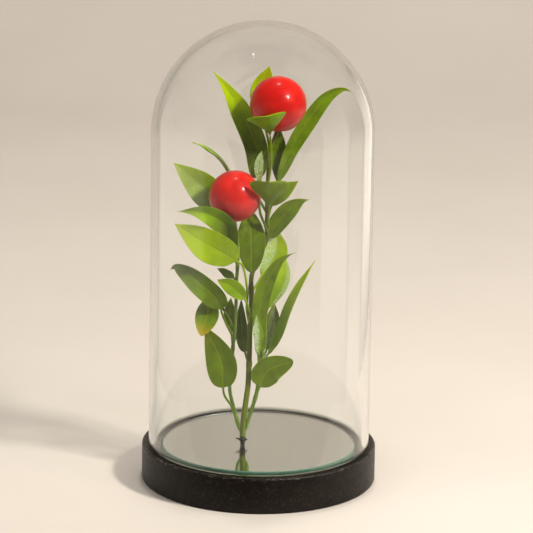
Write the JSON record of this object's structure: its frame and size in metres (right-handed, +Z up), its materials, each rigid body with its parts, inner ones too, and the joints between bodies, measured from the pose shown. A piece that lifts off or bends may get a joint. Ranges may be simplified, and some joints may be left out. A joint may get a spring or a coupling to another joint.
{
  "type": "bell jar dome",
  "caption": "Round-topped glass display dome that lifts off a black wooden base, over a mirror disc holding an artificial sprig with green leaves and red berries.",
  "frame": {"origin": "centre of the underside, on the surface the base stands on", "axes": "+Z up along the dome's axis, -Y the front, +X the viewer's right"},
  "size_m": [0.127, 0.127, 0.255],
  "materials": {
    "dome_glass": "clear polished",
    "black_paint": "black textured paint on turned wood",
    "felt": "black felt",
    "mirror_plate": "polished edge, green tint",
    "silvering": "silvered",
    "adhesive": "double-sided foam",
    "stem": "dark olive moulding over wire",
    "green_stem": "satin green",
    "leaf": "satin green, slightly translucent",
    "berry": "glossy red"
  },
  "bodies": {
    "base": {"wooden_base": "black_paint", "felt_pad": "felt", "mirror_glass": "mirror_plate", "mirror_backing": "silvering", "adhesive_pad": "adhesive", "main_stem": "stem", "left_branch": "green_stem", "right_branch": "green_stem", "barbed_collar": "stem", "upper_berry": "berry", "lower_berry": "berry", "leaf_upper_left": "leaf", "leaf_upper_back": "leaf", "leaf_upper_cup": "leaf", "leaf_upper_right": "leaf", "leaf_upper_stem": "leaf", "bract_upper": "leaf", "leaf_left_sickle": "leaf", "leaf_left_pale": "leaf", "leaf_left_curled": "leaf", "leaf_middle_cup": "leaf", "leaf_middle_right": "leaf", "leaf_right_blade": "leaf", "leaf_left_bright": "leaf", "leaf_centre": "leaf", "leaf_right_bright": "leaf", "leaf_front_right": "leaf", "leaf_right_glossy": "leaf", "leaf_right_spear": "leaf", "leaf_left_hooked": "leaf", "leaf_front_small": "leaf", "leaf_back_small": "leaf", "leaf_left_rounded": "leaf", "leaf_lower_left": "leaf", "leaf_lower_right": "leaf", "leaf_left_shaded": "leaf", "leaf_centre_shaded": "leaf", "leaf_low_glossy": "leaf", "leaf_low_brown": "leaf"},
    "dome": {"glass_dome": "dome_glass"}
  },
  "joints": [
    {"name": "dome_lift", "type": "slide", "parent": "base", "child": "dome", "axis": [0, 0, 1], "range_m": [0, 0.24]}
  ]
}
